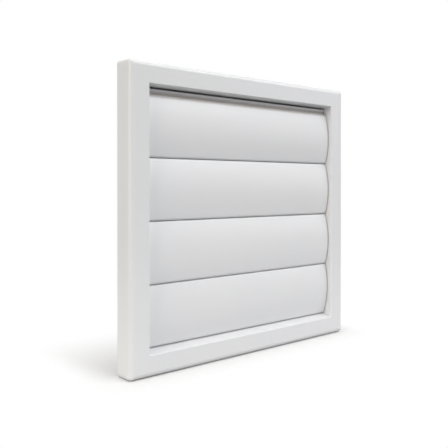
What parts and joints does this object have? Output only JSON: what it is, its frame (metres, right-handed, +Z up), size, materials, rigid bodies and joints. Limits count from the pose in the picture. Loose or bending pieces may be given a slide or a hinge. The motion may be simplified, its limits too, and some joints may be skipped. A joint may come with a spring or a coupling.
{
  "type": "wall vent grille",
  "caption": "Square moulded wall vent grille with gravity flaps that swing open in a raised frame, over a back plate with a round duct spigot.",
  "frame": {"origin": "on the axis of the duct spigot, in the plane of the wall that the back plate lies on", "axes": "+Z up, +Y into the wall along the spigot, +X to the right of someone facing the grille"},
  "size_m": [0.155, 0.0442, 0.155],
  "materials": {
    "frame_plastic": "satin white moulded plastic",
    "plate_plastic": "plain white moulded plastic",
    "flap_plastic": "satin white moulded plastic"
  },
  "bodies": {
    "housing": {"front_frame": "frame_plastic", "back_plate": "plate_plastic"},
    "top_flap": {"flap_1": "flap_plastic"},
    "upper_flap": {"flap_2": "flap_plastic"},
    "lower_flap": {"flap_3": "flap_plastic"},
    "bottom_flap": {"flap_4": "flap_plastic"}
  },
  "joints": [
    {"name": "flap_1_swing", "type": "hinge", "parent": "housing", "child": "top_flap", "pos_m": [0, -0.00655, 0.06015], "axis": [-1, 0, 0], "range_deg": [0, 80]},
    {"name": "flap_2_swing", "type": "hinge", "parent": "housing", "child": "upper_flap", "pos_m": [0, -0.00655, 0.02851], "axis": [-1, 0, 0], "range_deg": [0, 80]},
    {"name": "flap_3_swing", "type": "hinge", "parent": "housing", "child": "lower_flap", "pos_m": [0, -0.00655, -0.00313], "axis": [-1, 0, 0], "range_deg": [0, 80]},
    {"name": "flap_4_swing", "type": "hinge", "parent": "housing", "child": "bottom_flap", "pos_m": [0, -0.00655, -0.03476], "axis": [-1, 0, 0], "range_deg": [0, 80]}
  ]
}
